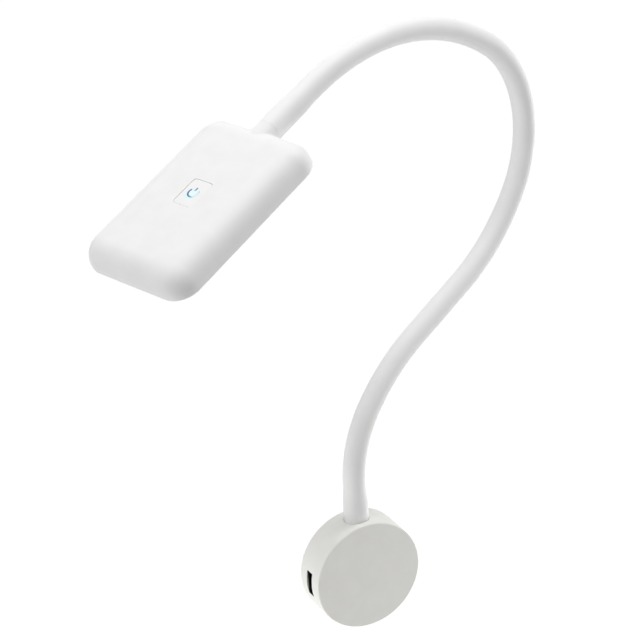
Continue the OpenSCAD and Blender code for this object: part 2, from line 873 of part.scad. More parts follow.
// Crimped ferrule on the upper end of the spine, with the thread that holds the head
module top_ferrule() {
    color("silver") head_frame() difference() {
        union() {
            bar_x(-neck_l - ferrule_floor - ferrule_l, -neck_l, ferrule_r);
            bar_x(-neck_l - ferrule_floor, top_thread_end, top_thread_d / 2);
        }
        bar_x(-neck_l - ferrule_l - past, top_thread_end + past, top_thread_d / 2 - thread_wall);
        bar_x(-neck_l - ferrule_floor - ferrule_l - past, -neck_l - ferrule_floor, spine_r + thread_gap);
    }
}

// Toothed lock washer under the nut in the head
module top_washer() {
    color("gray") head_frame() rotate([0, 90, 0])
        ring(end_boss, end_boss + top_washer_t, top_nut_af / 2, top_thread_d / 2 + thread_gap);
}

// Nut that holds the head on the arm
module top_nut() {
    color("silver") head_frame()
        translate([end_boss + top_washer_t, 0, 0])
        rotate([0, 90, 0])
        rotate([0, 0, 90])
        hex_nut(top_nut_af, top_nut_t, top_thread_d + 2 * thread_gap);
}

// Outside of the head with its neck
module head_form() {
    translate([head_l / 2, 0, 0])
        soft_slab(head_l, head_w, head_low, head_high, head_corner, head_round, head_edge);
    bar_x(-neck_l, head_round, neck_d / 2);
}

// Moulded shell of the head, open below for the light
module head_shell() {
    inner_l = head_l - 2 * head_wall;
    inner_w = head_w - 2 * head_wall;
    color("whitesmoke") head_frame() difference() {
        union() {
            difference() {
                head_form();
                translate([head_l / 2, 0, 0])
                    soft_slab(inner_l, inner_w, head_low + web_t, ceiling,
                        head_corner - head_wall, head_round - head_wall, 0);
            }
            intersection() {
                translate([head_l / 2, 0, 0])
                    soft_slab(head_l, head_w, head_low, head_high, head_corner, head_round, head_edge);
                translate([0, -boss_w / 2, -head_t]) cube([end_boss, boss_w, 2 * head_t]);
            }
            for (at = led_posts)
                translate([at[0], at[1], led_board_high])
                    cylinder(h = ceiling + head_wall / 4 - led_board_high, d = led_post_d);
            for (x = switch_posts)
                translate([x, 0, switch_board_high])
                    cylinder(h = ceiling + head_wall / 2 - switch_board_high, d = switch_post_d);
        }
        translate([window_x, 0, 0])
            round_slab(window_l, window_w, window_corner, head_low - past, head_low + web_t + past);
        bar_x(-neck_l - past, end_boss + past, top_thread_d / 2 + thread_gap);
        translate([button_x, 0, 0])
            round_slab(button_l + 2 * button_gap, button_w + 2 * button_gap, button_corner + button_gap,
                ceiling - past, head_high + past);
        for (at = led_posts)
            translate([at[0], at[1], led_board_high - past])
                cylinder(h = past + screw_bite, d = led_screw_d + 2 * thread_gap);
        for (x = switch_posts)
            translate([x, 0, switch_board_high - past])
                cylinder(h = past + screw_bite, d = switch_screw_d + 2 * thread_gap);
    }
}

// Aluminium board that carries the light chips
module led_board() {
    color("white") head_frame() difference() {
        translate([window_x, 0, 0])
            round_slab(window_l - 2 * led_board_margin, window_w - 2 * led_board_margin, window_corner - led_board_margin,
                led_board_low, led_board_high);
        for (at = led_posts)
            translate([at[0], at[1], led_board_low - past])
                cylinder(h = led_board_t + 2 * past, d = led_screw_d + 2 * fit_gap);
    }
}

// Light chips in rows under the board
module leds() {
    step_x = (window_l - 2 * frame_w) / led_rows;
    step_y = (window_w - 2 * frame_w) / led_columns;
    color("khaki") head_frame() for (i = [0 : led_rows - 1], j = [0 : led_columns - 1])
        translate([
            window_x + (i - (led_rows - 1) / 2) * step_x - led_size[0] / 2,
            (j - (led_columns - 1) / 2) * step_y - led_size[1] / 2,
            led_board_low - led_size[2]
        ]) cube(led_size);
}

// Four screws that hold the light board
module led_screws() {
    color("gray") head_frame() for (at = led_posts)
        translate([at[0], at[1], led_board_low])
            screw(led_screw_d, led_board_t + screw_bite - fit_gap, 2 * led_screw_d, 1);
}

// White reflector frame between the light board and the diffuser
module led_frame() {
    outer_l = window_l - 2 * fit_gap;
    outer_w = window_w - 2 * fit_gap;
    color("white") head_frame() translate([window_x, 0, 0]) difference() {
        round_slab(outer_l, outer_w, window_corner - fit_gap, frame_low, led_board_low);
        round_slab(outer_l - 2 * frame_w, outer_w - 2 * frame_w, window_corner - fit_gap - frame_w,
            frame_low - past, led_board_low + past);
    }
}

// Opal sheet that closes the light window
module diffuser() {
    color("ghostwhite") head_frame() translate([window_x, 0, 0])
        round_slab(window_l - 2 * fit_gap, window_w - 2 * fit_gap, window_corner - fit_gap, diffuser_low, frame_low);
}

// Plug header where the arm's wires end on the light board
module top_header() {
    color("ivory") head_frame()
        translate([top_header_x, -top_header[1] / 2, led_board_high])
        cube(top_header);
}

// Small board under the button
module switch_board() {
    color("darkgreen") head_frame() difference() {
        translate([button_x - switch_board_l / 2, -switch_board_w / 2, switch_board_low])
            cube([switch_board_l, switch_board_w, switch_board_t]);
        for (x = switch_posts)
            translate([x, 0, switch_board_low - past])
                cylinder(h = switch_board_t + 2 * past, d = switch_screw_d + 2 * fit_gap);
    }
}

// Two screws that hold the switch board
module switch_screws() {
    color("gray") head_frame() for (x = switch_posts)
        translate([x, 0, switch_board_low])
            screw(switch_screw_d, switch_board_t + screw_bite - fit_gap, 2 * switch_screw_d, 0.8);
}

// Pins that join the switch board to the light board
module link_pins() {
    pin_d = 0.6;
    pitch = 2;
    color("gold") head_frame() for (i = [0 : 3])
        translate([button_x - button_l / 2, (i - 1.5) * pitch, led_board_high])
            cylinder(h = switch_board_low - led_board_high, d = pin_d);
}

// Push switch with a bore for its plunger
module tact_switch() {
    color("dimgray") head_frame() translate([plunger_x, 0, switch_board_high]) difference() {
        translate([-switch_w / 2, -switch_w / 2, 0]) cube([switch_w, switch_w, switch_h]);
        translate([0, 0, switch_h - 2 * button_travel - 2 * plunger_gap])
            cylinder(h = switch_h, d = plunger_d + 2 * plunger_gap);
    }
}

// Blue light chip under the button's mark
module symbol_led() {
    size = [1.6, 0.8, 0.6];
    color("deepskyblue") head_frame()
        translate([button_x - size[0] / 2, -size[1] / 2, switch_board_high])
        cube(size);
}

// Plunger of the push switch, which the button presses
module switch_plunger() {
    depth = button_travel + plunger_gap;
    color("black") head_frame()
        translate([plunger_x, 0, switch_board_high + switch_h - depth])
        cylinder(h = switch_show + depth, d = plunger_d);
}

// Button with a lip that keeps it in the head, hollow over the blue light
module button_cap() {
    color("white") head_frame() difference() {
        translate([button_x, 0, 0]) {
            round_slab(button_l, button_w, button_corner, lip_low, button_high);
            round_slab(button_l + 2 * button_lip, button_w + 2 * button_lip, button_corner, lip_low, lip_high);
        }
        translate([button_x, 0, lip_low - past]) cylinder(h = button_high - lip_low - well_skin + past, d = well_d);
    }
}

wall_plate();
cable_grommet();
grub_screws();
base_shell();
usb_shell();
usb_tongue();
usb_contacts();
power_board();
board_screws();
power_inductor();
power_capacitor();
power_chip();
terminal_block();
base_header();
foot_ferrule();
foot_washer();
foot_nut();
spine(0);  // spine_1
spine(1);  // spine_2
spine(2);  // spine_3
spine(3);  // spine_4
spine(4);  // spine_5
spine(5);  // spine_6
spine(6);  // spine_7
arm_wires();
arm_sleeve();
top_ferrule();
top_washer();
top_nut();
head_shell();
led_board();
leds();
led_screws();
led_frame();
diffuser();
top_header();
switch_board();
switch_screws();
link_pins();
tact_switch();
symbol_led();
switch_plunger();
button_cap();
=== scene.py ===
from math import atan2, copysign, cos, radians, sin, sqrt

import bmesh
import bpy
from mathutils import Matrix, Vector


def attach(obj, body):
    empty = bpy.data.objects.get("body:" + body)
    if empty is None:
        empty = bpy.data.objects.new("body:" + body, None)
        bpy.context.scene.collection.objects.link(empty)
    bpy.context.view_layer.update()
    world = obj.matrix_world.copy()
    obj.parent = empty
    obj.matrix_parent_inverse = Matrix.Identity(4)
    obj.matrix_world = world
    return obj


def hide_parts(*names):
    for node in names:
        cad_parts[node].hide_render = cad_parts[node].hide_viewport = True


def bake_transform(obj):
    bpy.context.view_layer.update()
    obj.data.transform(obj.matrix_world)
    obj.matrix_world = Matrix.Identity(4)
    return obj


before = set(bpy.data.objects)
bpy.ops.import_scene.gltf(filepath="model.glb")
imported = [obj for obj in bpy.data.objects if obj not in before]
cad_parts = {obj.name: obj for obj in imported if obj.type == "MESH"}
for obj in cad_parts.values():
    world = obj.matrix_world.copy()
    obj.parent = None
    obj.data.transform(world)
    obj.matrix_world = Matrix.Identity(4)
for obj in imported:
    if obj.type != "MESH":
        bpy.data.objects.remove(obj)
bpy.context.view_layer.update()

scene = bpy.context.scene
scene.view_settings.view_transform = "Standard"

# Camera
# It stands left of the light and above it, about a metre away, and looks down through a long lens.
# A slight turn about its own axis follows the lean of the upright lines.
mm = 0.001
camera_at = Vector((-378.9, -779.0, 513.7)) * mm
camera_right = Vector((0.8869, -0.4570, -0.0682))
camera_up = Vector((0.2421, 0.3338, 0.9110))
camera_back = Vector((-0.3935, -0.8245, 0.4066))
camera_turn = Matrix((camera_right, camera_up, camera_back)).transposed().to_4x4()
camera_data = bpy.data.cameras.new("camera")
camera_data.sensor_width = 36.0
camera_data.lens = 115.6
camera_data.clip_end = 50.0
camera = bpy.data.objects.new("camera", camera_data)
camera.matrix_world = Matrix.Translation(camera_at) @ camera_turn
scene.collection.objects.link(camera)
scene.camera = camera

# Floor and studio light
# A plain pale floor lies well below the light, and the room round it is an even white.
# Wide soft lamps stand above it and at its sides, and small faint ones near the arm and below the base.
floor_below = -1.3
floor_half = 12.0
floor_grey = (0.8, 0.8, 0.8, 1.0)
floor_rough = 0.9
floor_glow = 0.71
pure_white = (1.0, 1.0, 1.0, 1.0)
studio_level = 0.345
seen_level = 1.0


def white_to_the_eye(tree):
    """Gives 1 to a ray from the camera or a shiny or clear surface, and 0 to one that only brings light."""
    path = tree.nodes.new("ShaderNodeLightPath")
    mirrored = tree.nodes.new("ShaderNodeMath")
    mirrored.operation = "MAXIMUM"
    tree.links.new(path.outputs["Is Glossy Ray"], mirrored.inputs[0])
    tree.links.new(path.outputs["Is Transmission Ray"], mirrored.inputs[1])
    seen = tree.nodes.new("ShaderNodeMath")
    seen.operation = "MAXIMUM"
    tree.links.new(path.outputs["Is Camera Ray"], seen.inputs[0])
    tree.links.new(mirrored.outputs[0], seen.inputs[1])
    return seen.outputs[0]


floor_mesh = bmesh.new()
bmesh.ops.create_grid(floor_mesh, x_segments=2, y_segments=2, size=floor_half)
bmesh.ops.translate(floor_mesh, vec=(0.0, 0.0, floor_below), verts=floor_mesh.verts)
floor_data = bpy.data.meshes.new("floor")
floor_mesh.to_mesh(floor_data)
floor_mesh.free()
floor = bpy.data.objects.new("floor", floor_data)
scene.collection.objects.link(floor)
floor_paint = bpy.data.materials.new("floor_paint")
floor_paint.use_nodes = True
floor_tree = floor_paint.node_tree
floor_shader = floor_tree.nodes["Principled BSDF"]
floor_shader.inputs["Base Color"].default_value = floor_grey
floor_shader.inputs["Roughness"].default_value = floor_rough
floor_shader.inputs["Emission Color"].default_value = pure_white
floor_lift = floor_tree.nodes.new("ShaderNodeMath")
floor_lift.operation = "MULTIPLY"
floor_lift.inputs[1].default_value = floor_glow
floor_tree.links.new(white_to_the_eye(floor_tree), floor_lift.inputs[0])
floor_tree.links.new(floor_lift.outputs[0], floor_shader.inputs["Emission Strength"])
floor_data.materials.append(floor_paint)

room = bpy.data.worlds.new("room")
room.use_nodes = True
room_tree = room.node_tree
room_even = room_tree.nodes["Background"]
room_even.inputs["Color"].default_value = pure_white
room_even.inputs["Strength"].default_value = studio_level
room_white = room_tree.nodes.new("ShaderNodeBackground")
room_white.inputs["Color"].default_value = pure_white
room_white.inputs["Strength"].default_value = seen_level
room_mix = room_tree.nodes.new("ShaderNodeMixShader")
room_tree.links.new(white_to_the_eye(room_tree), room_mix.inputs["Fac"])
room_tree.links.new(room_even.outputs[0], room_mix.inputs[1])
room_tree.links.new(room_white.outputs[0], room_mix.inputs[2])
room_tree.links.new(room_mix.outputs[0], room_tree.nodes["World Output"].inputs["Surface"])
scene.world = room

lamp_aim = Vector((0.0, -20.0, 130.0)) * mm


def hang_lamp(name, direction, away, width, watts):
    """Hangs a round lamp in a direction from the part's middle, and turns it to face that."""
    lamp_data = bpy.data.lights.new(name, "AREA")
    lamp_data.shape = "DISK"
    lamp_data.size = width
    lamp_data.energy = watts
    lamp = bpy.data.objects.new(name, lamp_data)
    toward = Vector(direction).normalized()
    lamp.location = lamp_aim + toward * away
    lamp.rotation_mode = "QUATERNION"
    lamp.rotation_quaternion = toward.to_track_quat("Z", "Y")
    lamp.visible_camera = False
    scene.collection.objects.link(lamp)


hang_lamp("right_lamp", (0.55, 0.0, 0.83), away=1.6, width=0.9, watts=10.2)
hang_lamp("left_lamp", (-0.9, 0.1, 0.4), away=1.6, width=0.9, watts=6.9)
hang_lamp("near_lamp", (0.22, 0.15, 0.95), away=0.6, width=0.4, watts=0.4)
hang_lamp("top_lamp", (-0.37, -0.25, 0.89), away=1.6, width=0.9, watts=5.2)
hang_lamp("side_lamp", (0.94, 0.06, -0.33), away=1.2, width=0.9, watts=5.2)
hang_lamp("rim_lamp", (-0.30, 0.04, -0.38), away=0.486, width=0.25, watts=0.71)
hang_lamp("face_lamp", (0.15, -0.33, -0.28), away=0.458, width=0.25, watts=0.38)

# Wall plate
# A pressed sheet steel plate screwed to the wall, with lugs that the base slips over.
# It is zinc plated, so it shows faint crystals and a dull grey shine.
noise_low = 0.3
noise_high = 0.7


def start_finish(name):
    """Starts a material, and gives it with its nodes, its shader and the piece's own coordinates."""
    finish = bpy.data.materials.new(name)
    finish.use_nodes = True
    tree = finish.node_tree
    coordinates = tree.nodes.new("ShaderNodeTexCoord")
    return finish, tree, tree.nodes["Principled BSDF"], coordinates.outputs["Object"]


def add_noise(tree, place, size, detail=2.0, stretch=(1.0, 1.0, 1.0)):
    """Gives a cloudy pattern with patches of about a size in millimetres."""
    mapping = tree.nodes.new("ShaderNodeMapping")
    mapping.inputs["Scale"].default_value = stretch
    tree.links.new(place, mapping.inputs["Vector"])
    noise = tree.nodes.new("ShaderNodeTexNoise")
    noise.inputs["Scale"].default_value = 1.0 / (size * mm)
    noise.inputs["Detail"].default_value = detail
    tree.links.new(mapping.outputs["Vector"], noise.inputs["Vector"])
    return noise.outputs["Fac"]


def add_tones(tree, shader, pattern, dark, light, low=noise_low, high=noise_high):
    ramp = tree.nodes.new("ShaderNodeValToRGB")
    ramp.color_ramp.elements[0].position = low
    ramp.color_ramp.elements[0].color = (*dark, 1.0)
    ramp.color_ramp.elements[1].position = high
    ramp.color_ramp.elements[1].color = (*light, 1.0)
    tree.links.new(pattern, ramp.inputs["Fac"])
    tree.links.new(ramp.outputs["Color"], shader.inputs["Base Color"])


def add_gloss(tree, shader, pattern, smooth, rough):
    gloss = tree.nodes.new("ShaderNodeMapRange")
    gloss.inputs["From Min"].default_value = noise_low
    gloss.inputs["From Max"].default_value = noise_high
    gloss.inputs["To Min"].default_value = smooth
    gloss.inputs["To Max"].default_value = rough
    tree.links.new(pattern, gloss.inputs["Value"])
    tree.links.new(gloss.outputs["Result"], shader.inputs["Roughness"])


def add_relief(tree, shader, pattern, depth, strength):
    relief = tree.nodes.new("ShaderNodeBump")
    relief.inputs["Distance"].default_value = depth * mm
    relief.inputs["Strength"].default_value = strength
    tree.links.new(pattern, relief.inputs["Height"])
    tree.links.new(relief.outputs["Normal"], shader.inputs["Normal"])


def dress(finish, *nodes):
    """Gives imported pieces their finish."""
    for node in nodes:
        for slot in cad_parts[node].material_slots:
            slot.material = finish


zinc_dark = (0.50, 0.52, 0.54)
zinc_light = (0.66, 0.67, 0.68)
zinc_crystals_per_metre = 240.0
zinc, zinc_tree, zinc_shader, zinc_place = start_finish("zinc_plate")
zinc_shader.inputs["Metallic"].default_value = 1.0
zinc_crystals = zinc_tree.nodes.new("ShaderNodeTexVoronoi")
zinc_crystals.inputs["Scale"].default_value = zinc_crystals_per_metre
zinc_tree.links.new(zinc_place, zinc_crystals.inputs["Vector"])
zinc_grey = zinc_tree.nodes.new("ShaderNodeSeparateColor")
zinc_tree.links.new(zinc_crystals.outputs["Color"], zinc_grey.inputs["Color"])
zinc_grain = add_noise(zinc_tree, zinc_place, size=0.4)
add_tones(zinc_tree, zinc_shader, zinc_grey.outputs[0], zinc_dark, zinc_light, low=0.0, high=1.0)
add_gloss(zinc_tree, zinc_shader, zinc_grey.outputs[1], smooth=0.30, rough=0.46)
add_relief(zinc_tree, zinc_shader, zinc_grain, depth=0.02, strength=0.3)
dress(zinc, "wall_plate")

# Cable grommet
# A black rubber bush pressed into the plate, through which the supply comes in.
# It is moulded matt, and grey dust sits in its grain.
mould_tone_patch = 9.0
mould_gloss_patch = 3.0
mould_detail = 3.0


def moulded(name, dark, light, smooth, rough, grain, depth, strength):
    """Makes a moulded plastic or rubber, a little cloudy, with the fine grain of its mould."""
    finish, tree, shader, place = start_finish(name)
    add_tones(tree, shader, add_noise(tree, place, mould_tone_patch, mould_detail), dark, light)
    add_gloss(tree, shader, add_noise(tree, place, mould_gloss_patch, mould_detail), smooth, rough)
    add_relief(tree, shader, add_noise(tree, place, grain), depth, strength)
    return finish


grommet_rubber = moulded("grommet_rubber", dark=(0.012, 0.012, 0.013), light=(0.03, 0.03, 0.03),
                         smooth=0.6, rough=0.8, grain=0.3, depth=0.02, strength=0.4)
dress(grommet_rubber, "cable_grommet")

# Grub screws and other small screws
# Steel screws with a bright passivated surface, turned and threaded, two of them holding the cup.
# The turning leaves fine marks across them.
mark_size = 0.6
mark_detail = 4.0
mark_depth = 0.01
mark_strength = 0.25
rubbed_patch = 1.5


def worked_metal(name, dark, light, smooth, rough, stretch):
    """Makes a bare or plated metal with fine marks from its making, drawn out by stretch."""
    finish, tree, shader, place = start_finish(name)
    shader.inputs["Metallic"].default_value = 1.0
    marks = add_noise(tree, place, mark_size, mark_detail, stretch)
    add_tones(tree, shader, marks, dark, light)
    add_gloss(tree, shader, add_noise(tree, place, rubbed_patch), smooth, rough)
    add_relief(tree, shader, marks, mark_depth, mark_strength)
    return finish


screw_steel = worked_metal("screw_steel", dark=(0.48, 0.47, 0.45), light=(0.64, 0.63, 0.60),
                           smooth=0.26, rough=0.4, stretch=(1.0, 4.0, 1.0))
dress(screw_steel, "grub_screws", "board_screws", "led_screws", "switch_screws", "link_pins")

# Base cup
# A white cup moulded in matt plastic, with a crisp front edge, slipped over the plate's lugs.
# The mould was spark eroded, so it has a very fine grain and no shine.
# The cup's warmer tint than the head's is painted light, a warm bounce on the base.
cup_plastic_painted_warm = moulded("cup_plastic_painted_warm", dark=(0.848, 0.842, 0.806), light=(0.875, 0.869, 0.834),
                      smooth=0.50, rough=0.60, grain=0.22, depth=0.012, strength=0.16)
dress(cup_plastic_painted_warm, "base_shell")

# Charging socket
# A bent steel shell behind an opening in the left of the rim, painted near black inside and out as shade in
# the socket.
# Its tongue, painted near black as shade too, carries four contacts of brass under a thin gold plating.
tongue_shine = 0.2
# The shell's near-black colour is painted shade in the socket's depth.
socket_steel = worked_metal("socket_steel", dark=(0.016, 0.016, 0.016), light=(0.030, 0.030, 0.029),
                            smooth=0.4, rough=0.55, stretch=(1.0, 1.0, 6.0))
dress(socket_steel, "usb_shell")
# The tongue's near-black colour is painted shade as well.
tongue_painted_shade = moulded("tongue_painted_shade", dark=(0.008, 0.008, 0.008), light=(0.016, 0.016, 0.015),
                       smooth=0.5, rough=0.65, grain=0.3, depth=0.01, strength=0.2)
tongue_painted_shade.node_tree.nodes["Principled BSDF"].inputs["Specular IOR Level"].default_value = tongue_shine
dress(tongue_painted_shade, "usb_tongue")
gilt_brass = worked_metal("gilt_brass", dark=(0.62, 0.43, 0.15), light=(0.80, 0.60, 0.27),
                          smooth=0.2, rough=0.3, stretch=(5.0, 1.0, 1.0))
dress(gilt_brass, "usb_contacts")

# Frame of the socket
# A thin black plastic frame lines the opening in the cup's rim, in front of the socket's steel shell.
# It is pressed in from outside and ends level with the rim at its top and bottom.
frame_at = Vector((-26.75, -9.25, 0.0)) * mm
frame_tall = 12.46
frame_wide = 5.06
frame_wall = 0.18
frame_deep = 0.8
crease_angle = radians(40.0)
black_resin = moulded("black_resin", dark=(0.013, 0.013, 0.014), light=(0.025, 0.025, 0.026),
                      smooth=0.45, rough=0.6, grain=0.15, depth=0.02, strength=0.5)


def finish_piece(name, bm, finish):
    """Makes a piece from its mesh, smooth but for its sharp edges, and gives it its finish."""
    for face in bm.faces:
        face.smooth = True
    for edge in bm.edges:
        edge.smooth = len(edge.link_faces) == 2 and edge.calc_face_angle(0.0) < crease_angle
    data = bpy.data.meshes.new(name)
    bm.to_mesh(data)
    bm.free()
    data.materials.append(finish)
    piece = bpy.data.objects.new(name, data)
    scene.collection.objects.link(piece)
    return piece


mouth = bmesh.new()
bmesh.ops.create_grid(mouth, x_segments=1, y_segments=1, size=0.5)
bmesh.ops.scale(mouth, vec=Vector((frame_tall, frame_wide, 1.0)) * mm, verts=mouth.verts)
mouth_face = list(mouth.faces)
bmesh.ops.inset_individual(mouth, faces=mouth_face, thickness=frame_wall * mm, use_even_offset=True)
bmesh.ops.delete(mouth, geom=mouth_face, context="FACES")
bmesh.ops.solidify(mouth, geom=mouth.verts[:] + mouth.edges[:] + mouth.faces[:], thickness=frame_deep * mm)
bmesh.ops.recalc_face_normals(mouth, faces=mouth.faces)
mouth_turn = Matrix.Rotation(radians(90.0), 3, "Y")
bmesh.ops.rotate(mouth, cent=(0.0, 0.0, 0.0), matrix=mouth_turn, verts=mouth.verts)
mouth_front = min(vert.co.x for vert in mouth.verts)
bmesh.ops.translate(mouth, vec=frame_at - Vector((mouth_front, 0.0, 0.0)), verts=mouth.verts)
socket_frame = finish_piece("socket_frame", mouth, black_resin)
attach(socket_frame, "base")

# Supply board
# A green glass fibre board behind the cup's face, with copper tracks under its lacquer.
# It carries a choke, a capacitor, a control chip, a terminal block and the arm's plug.
track_width = 0.012
lacquer_shade = 0.9
lacquer_patch = 2.0


def circuit_board(name, lacquer, track, pitch):
    """Makes a lacquered board with raised tracks that repeat at a pitch in millimetres."""
    finish, tree, shader, place = start_finish(name)
    tracks = tree.nodes.new("ShaderNodeTexBrick")
    tracks.inputs["Scale"].default_value = 1.0 / (pitch * mm)
    tracks.inputs["Mortar Size"].default_value = track_width
    tracks.inputs["Color1"].default_value = (*lacquer, 1.0)
    tracks.inputs["Color2"].default_value = (*[tone * lacquer_shade for tone in lacquer], 1.0)
    tracks.inputs["Mortar"].default_value = (*track, 1.0)
    tree.links.new(place, tracks.inputs["Vector"])
    tree.links.new(tracks.outputs["Color"], shader.inputs["Base Color"])
    add_gloss(tree, shader, add_noise(tree, place, lacquer_patch), smooth=0.3, rough=0.42)
    add_relief(tree, shader, tracks.outputs["Fac"], depth=0.03, strength=0.4)
    return finish


green_board = circuit_board("green_board", lacquer=(0.010, 0.105, 0.038), track=(0.05, 0.22, 0.09),
                            pitch=14.0)
dress(green_board, "power_board", "switch_board")
dress(black_resin, "power_inductor", "power_chip", "tact_switch")
capacitor_can = worked_metal("capacitor_can", dark=(0.60, 0.61, 0.62), light=(0.74, 0.75, 0.76),
                             smooth=0.28, rough=0.4, stretch=(1.0, 1.0, 5.0))
dress(capacitor_can, "power_capacitor")
terminal_green = moulded("terminal_green", dark=(0.02, 0.20, 0.07), light=(0.03, 0.26, 0.10),
                         smooth=0.4, rough=0.52, grain=0.3, depth=0.01, strength=0.25)
dress(terminal_green, "terminal_block")
header_nylon = moulded("header_nylon", dark=(0.70, 0.68, 0.60), light=(0.78, 0.76, 0.69),
                       smooth=0.42, rough=0.55, grain=0.3, depth=0.01, strength=0.25)
dress(header_nylon, "base_header", "top_header")

# Arm fixings
# A steel ferrule is crimped on each end of the arm's spine, and its thread goes into the cup or the head.
# A toothed washer and a nut hold it there.
nickel_steel = worked_metal("nickel_steel", dark=(0.50, 0.49, 0.47), light=(0.66, 0.65, 0.62),
                            smooth=0.22, rough=0.36, stretch=(1.0, 3.0, 3.0))
dress(nickel_steel, "foot_ferrule", "foot_washer", "foot_nut", "top_ferrule", "top_washer", "top_nut")

# Spine of the arm
# A gooseneck wound from round steel wire, so its outside is a row of fine ribs. It stays where it is bent.
# The arm is drawn as it is set, in one stretch for each joint, cut halfway between the joints.
arm_foot = Vector((0.0, -9.25, 0.0)) * mm
arm_turn = radians(18.0)
arm_start = 27.5
arm_runs = [(18.0, 0.0), (54.0, -41.5), (98.0, -24.0), (38.0, 0.0),
            (100.0, 31.5), (56.0, 89.5), (120.0, 58.7), (30.7, 0.0)]
arm_joints = [50.0, 112.0, 174.0, 236.0, 298.0, 360.0]
arm_middles = [(joint + following) / 2.0 for joint, following in zip(arm_joints, arm_joints[1:])]
arm_bend_half = 24.0


def run_length(size, turn):
    """Gives the length of a run, which is straight, or bent on a radius through a number of degrees."""
    return size * radians(abs(turn)) if turn else size


arm_length = sum(run_length(size, turn) for size, turn in arm_runs)


def arm_place(distance):
    """Gives the place of a ring on the arm's middle line, with z along the line.

    Its y axis is square to the plane of the bends.
    """
    out, high, lean, left = 0.0, arm_start, 0.0, distance
    for number, (size, turn) in enumerate(arm_runs):
        step = left if number == len(arm_runs) - 1 else min(left, run_length(size, turn))
        if turn:
            bend = copysign(size, turn)
            ahead = lean + step / bend
            out += bend * (cos(lean) - cos(ahead))
            high += bend * (sin(ahead) - sin(lean))
            lean = ahead
        else:
            out += step * sin(lean)
            high += step * cos(lean)
        left -= step
        if left <= 0.0:
            break
    outward = Vector((-cos(arm_turn), -sin(arm_turn), 0.0))
    sideways = Vector((sin(arm_turn), -cos(arm_turn), 0.0))
    upward = Vector((0.0, 0.0, 1.0))
    across = outward * cos(lean) - upward * sin(lean)
    along = outward * sin(lean) + upward * cos(lean)
    turned = Matrix((across, sideways, along)).transposed().to_4x4()
    return Matrix.Translation(arm_foot + (outward * out + upward * high) * mm) @ turned


def pull_ring(bm, ring):
    """Extrudes a ring of edges where it is, and gives the new ring and its points."""
    pulled = bmesh.ops.extrude_edge_only(bm, edges=ring)["geom"]
    points = {part for part in pulled if isinstance(part, bmesh.types.BMVert)}
    edges = [part for part in pulled if isinstance(part, bmesh.types.BMEdge)]
    return [edge for edge in edges if points.issuperset(edge.verts)], points


def draw_tube(name, finish, first, last, radius_at, step, sides, wall=0.0, aside=0.0):
    """Pulls a ring along the arm between two distances, and gives the tube a wall or closes its ends."""

    def ring_place(distance):
        radius = radius_at(distance) * mm
        shift = Matrix.Translation((0.0, aside * mm, 0.0))
        return arm_place(distance) @ shift @ Matrix.Diagonal((radius, radius, radius, 1.0))

    bm = bmesh.new()
    bmesh.ops.create_circle(bm, segments=sides, radius=1.0)
    count = max(2, round((last - first) / step))
    here = ring_place(first)
    bmesh.ops.transform(bm, matrix=here, verts=bm.verts)
    ring = list(bm.edges)
    for number in range(1, count + 1):
        ahead = ring_place(first + (last - first) * number / count)
        ring, points = pull_ring(bm, ring)
        bmesh.ops.transform(bm, matrix=ahead @ here.inverted(), verts=list(points))
        here = ahead
    bmesh.ops.recalc_face_normals(bm, faces=bm.faces)
    if wall:
        bmesh.ops.solidify(bm, geom=bm.verts[:] + bm.edges[:] + bm.faces[:], thickness=wall * mm)
    else:
        bmesh.ops.holes_fill(bm, edges=[edge for edge in bm.edges if edge.is_boundary], sides=sides)
        bmesh.ops.recalc_face_normals(bm, faces=bm.faces)
    return finish_piece(name, bm, finish)


def bend_with_arm(piece, number):
    """Bakes a stretch of the arm in place; the span on both sides of its joint is worked out but not used.
    """
    joint = arm_joints[number]
    start = arm_place(joint - arm_bend_half).translation
    end = arm_place(joint + arm_bend_half).translation
    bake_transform(piece)


spine_r = 4.0
spine_wall = 1.5
spine_rib = 1.5
spine_groove = 0.3
spine_sides = 24
spine_cuts = [-1.45, *arm_middles, arm_length - 3.55]
spine_steel = worked_metal("spine_steel", dark=(0.42, 0.42, 0.42), light=(0.60, 0.60, 0.60),
                           smooth=0.28, rough=0.42, stretch=(1.0, 1.0, 1.0))


def spine_radius(distance):
    """Gives the spine's radius, on a rib and in a groove by turns."""
    return spine_r - spine_groove * (round(2.0 * distance / spine_rib) % 2)


for number in range(len(arm_joints)):
    spine = draw_tube(f"wound_spine_{number + 1}", spine_steel, spine_cuts[number], spine_cuts[number + 1],
                      spine_radius, step=spine_rib / 2.0, sides=spine_sides, wall=spine_wall)
    bend_with_arm(spine, number)
    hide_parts(f"spine_{number + 1}", f"spine_{number + 2}")

# Wires in the arm
# Two covered wires run from the supply board to the light through the middle of the spine.
# One is red and one is black.
wire_r = 0.7
wire_out = 0.8
wire_step = 3.0
wire_sides = 10
wire_cuts = [-18.5, *arm_middles, arm_length + 19.0]
red_cover = moulded("red_cover", dark=(0.36, 0.018, 0.014), light=(0.45, 0.025, 0.02),
                    smooth=0.35, rough=0.5, grain=0.4, depth=0.01, strength=0.2)
black_cover = moulded("black_cover", dark=(0.015, 0.015, 0.016), light=(0.03, 0.03, 0.03),
                      smooth=0.35, rough=0.5, grain=0.4, depth=0.01, strength=0.2)
for colour, cover, aside in (("red", red_cover, -wire_out), ("black", black_cover, wire_out)):
    for number in range(len(arm_joints)):
        wire = draw_tube(f"{colour}_wire_{number + 1}", cover, wire_cuts[number], wire_cuts[number + 1],
                         lambda distance: wire_r, step=wire_step, sides=wire_sides, aside=aside)
        bend_with_arm(wire, number)
        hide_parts("arm_wires")
